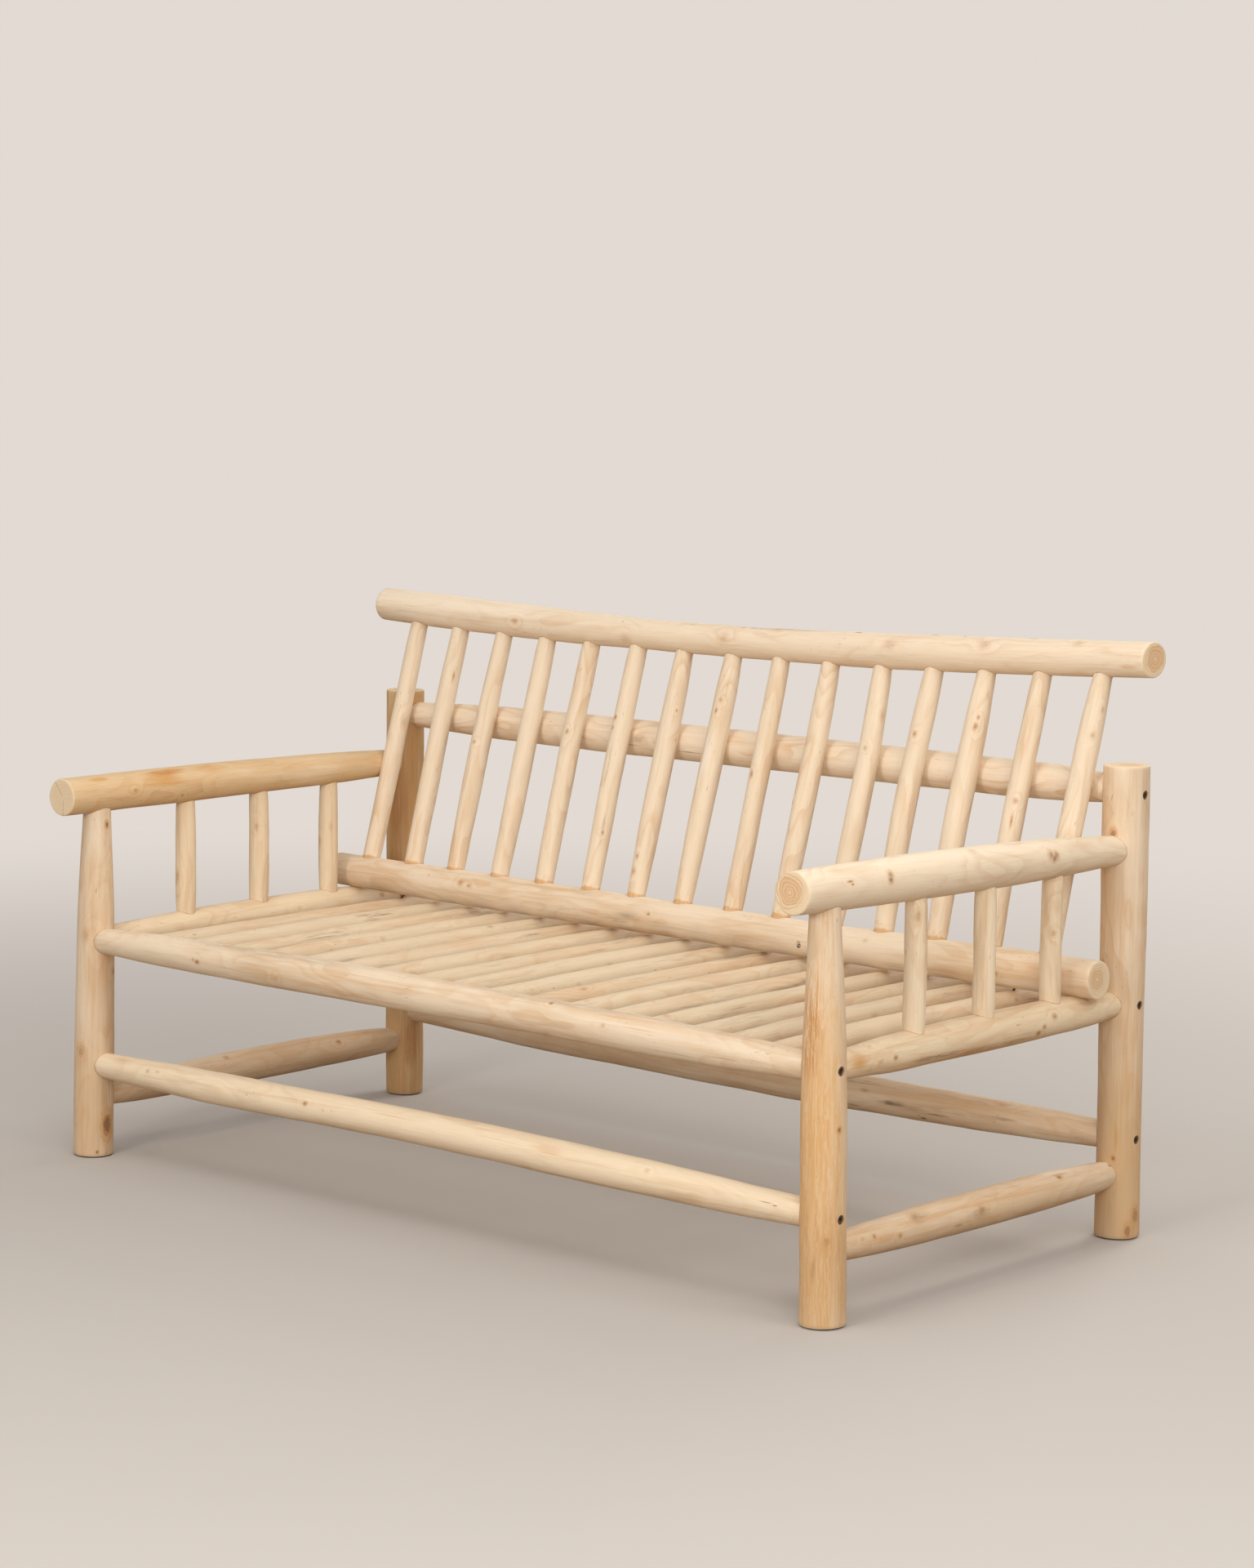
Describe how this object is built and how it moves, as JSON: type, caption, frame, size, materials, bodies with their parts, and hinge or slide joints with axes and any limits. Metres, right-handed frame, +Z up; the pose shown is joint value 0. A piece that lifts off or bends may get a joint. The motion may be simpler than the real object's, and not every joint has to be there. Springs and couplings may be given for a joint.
{
  "type": "wooden sofa",
  "caption": "Free-standing sofa frame of pale peeled round logs: slatted seat, leaning backrest with round spindles, round armrests over short spindles, and low stretchers between the legs.",
  "frame": {"origin": "on the floor, under the middle of the outline in X and Y", "axes": "+X along the seat, to the right as seen from the front; the front faces -Y; +Z up"},
  "size_m": [1.6, 0.8052, 0.8897],
  "materials": {
    "legs": "peeled and sanded pale log, matt",
    "armrests": "peeled and sanded pale log, matt, worn on top",
    "rails": "peeled and sanded pale log, matt",
    "slats": "thin peeled pole, matt",
    "spindles": "thin peeled pole, matt",
    "bolts": "blackened steel",
    "inserts": "plain",
    "glides": "dark, matt"
  },
  "bodies": {
    "root": {"post_front_left": "legs", "post_front_right": "legs", "post_back_left": "legs", "post_back_right": "legs", "armrest_left": "armrests", "armrest_right": "armrests", "arm_spindle_left_1": "spindles", "arm_spindle_left_2": "spindles", "arm_spindle_left_3": "spindles", "arm_spindle_right_1": "spindles", "arm_spindle_right_2": "spindles", "arm_spindle_right_3": "spindles", "front_seat_rail": "rails", "rear_seat_rail": "rails", "side_seat_rail_left": "rails", "side_seat_rail_right": "rails", "front_stretcher": "rails", "rear_stretcher": "rails", "side_stretcher_left": "rails", "side_stretcher_right": "rails", "upper_back_rail": "rails", "backrest_top_rail": "rails", "backrest_bottom_rail": "rails", "back_spindle_01": "spindles", "back_spindle_02": "spindles", "back_spindle_03": "spindles", "back_spindle_04": "spindles", "back_spindle_05": "spindles", "back_spindle_06": "spindles", "back_spindle_07": "spindles", "back_spindle_08": "spindles", "back_spindle_09": "spindles", "back_spindle_10": "spindles", "back_spindle_11": "spindles", "back_spindle_12": "spindles", "back_spindle_13": "spindles", "back_spindle_14": "spindles", "back_spindle_15": "spindles", "seat_slat_01": "slats", "seat_slat_02": "slats", "seat_slat_03": "slats", "seat_slat_04": "slats", "seat_slat_05": "slats", "seat_slat_06": "slats", "seat_slat_07": "slats", "seat_slat_08": "slats", "seat_slat_09": "slats", "seat_slat_10": "slats", "seat_slat_11": "slats", "seat_slat_12": "slats", "seat_slat_13": "slats", "seat_slat_14": "slats", "seat_slat_15": "slats", "seat_slat_16": "slats", "seat_slat_17": "slats", "frame_bolts": "bolts", "threaded_inserts": "inserts", "backrest_screws": "bolts", "foot_glides": "glides"}
  },
  "joints": []
}
